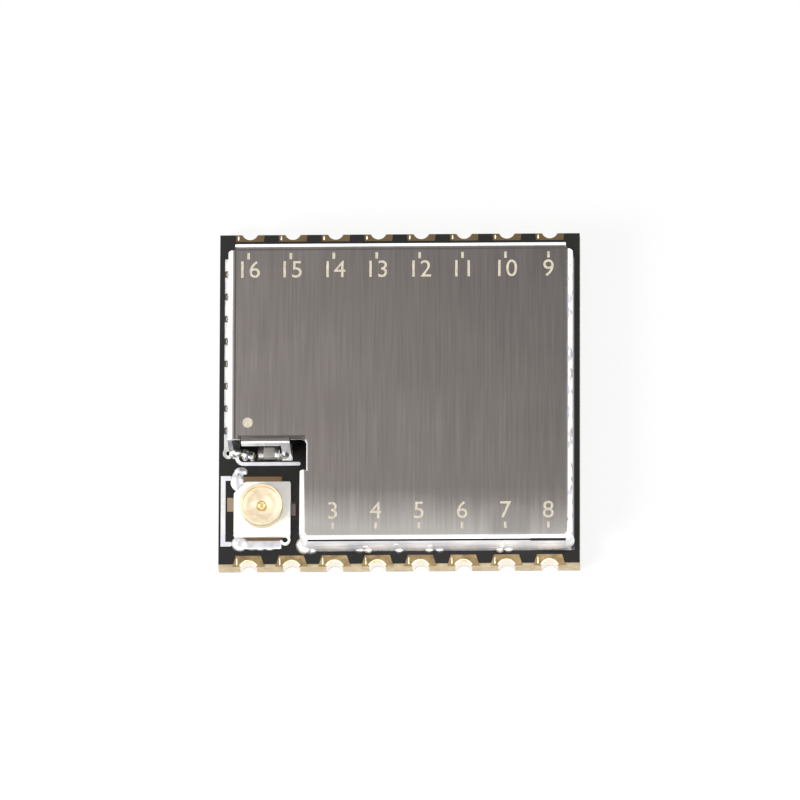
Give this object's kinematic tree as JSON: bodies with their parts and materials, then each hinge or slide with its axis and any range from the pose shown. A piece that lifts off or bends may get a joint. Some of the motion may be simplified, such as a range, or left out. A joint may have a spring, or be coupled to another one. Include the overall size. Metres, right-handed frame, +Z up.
{
  "type": "radio module",
  "caption": "Square surface-mount radio module: board with half-hole contacts, folded metal shield and a small coaxial antenna receptacle in its notch.",
  "frame": {"origin": "middle of the underside of the board", "axes": "+X along the rows of contacts, with the receptacle at the -X end; +Y towards the rear row; +Z up, out of the shield's lid"},
  "size_m": [0.0168, 0.016, 0.0032],
  "materials": {
    "laminate": "woven glass and resin, sawn edge",
    "solder_mask": "black, satin",
    "gold_plating": "thin gold over nickel, satin",
    "tin": "tinned, uneven and bright",
    "print": "white ink",
    "can_sheet": "nickel silver sheet with a fine straight grain",
    "solder": "bright solder",
    "receptacle_plastic": "ivory moulding",
    "receptacle_metal": "pale gold plate",
    "contact_gold": "gold plate",
    "capacitor_ceramic": "fired, matt",
    "inductor_ceramic": "fired, matt",
    "part_ends": "tin plate",
    "chip_moulding": "moulded, fine matt",
    "crystal_ceramic": "fired, matt",
    "crystal_metal": "plated lid",
    "resistor_coat": "black glaze"
  },
  "bodies": {
    "root": {"board": "laminate", "solder_mask_top": "solder_mask", "solder_mask_bottom": "solder_mask", "ground_vias": "tin", "shield_land": "tin", "component_lands": "gold_plating", "receptacle_lands": "gold_plating", "printed_marks": "print", "shield_can": "can_sheet", "shield_solder": "solder", "receptacle_housing": "receptacle_plastic", "receptacle_shell": "receptacle_metal", "receptacle_contact": "contact_gold", "receptacle_solder": "solder", "filter_capacitor_body": "capacitor_ceramic", "filter_capacitor_ends": "part_ends", "filter_inductor_body": "inductor_ceramic", "filter_inductor_ends": "part_ends", "filter_solder": "solder", "radio_chip": "chip_moulding", "radio_chip_leads": "part_ends", "crystal_base": "crystal_ceramic", "crystal_cap": "crystal_metal", "antenna_switch": "chip_moulding", "antenna_switch_leads": "part_ends", "capacitor_bodies": "capacitor_ceramic", "capacitor_ends": "part_ends", "inductor_bodies": "inductor_ceramic", "inductor_ends": "part_ends", "resistor_bodies": "resistor_coat", "resistor_ends": "part_ends", "castellation_1": "gold_plating", "castellation_2": "gold_plating", "castellation_3": "gold_plating", "castellation_4": "gold_plating", "castellation_5": "gold_plating", "castellation_6": "gold_plating", "castellation_7": "gold_plating", "castellation_8": "gold_plating", "castellation_9": "gold_plating", "castellation_10": "gold_plating", "castellation_11": "gold_plating", "castellation_12": "gold_plating", "castellation_13": "gold_plating", "castellation_14": "gold_plating", "castellation_15": "gold_plating", "castellation_16": "gold_plating"}
  },
  "joints": []
}
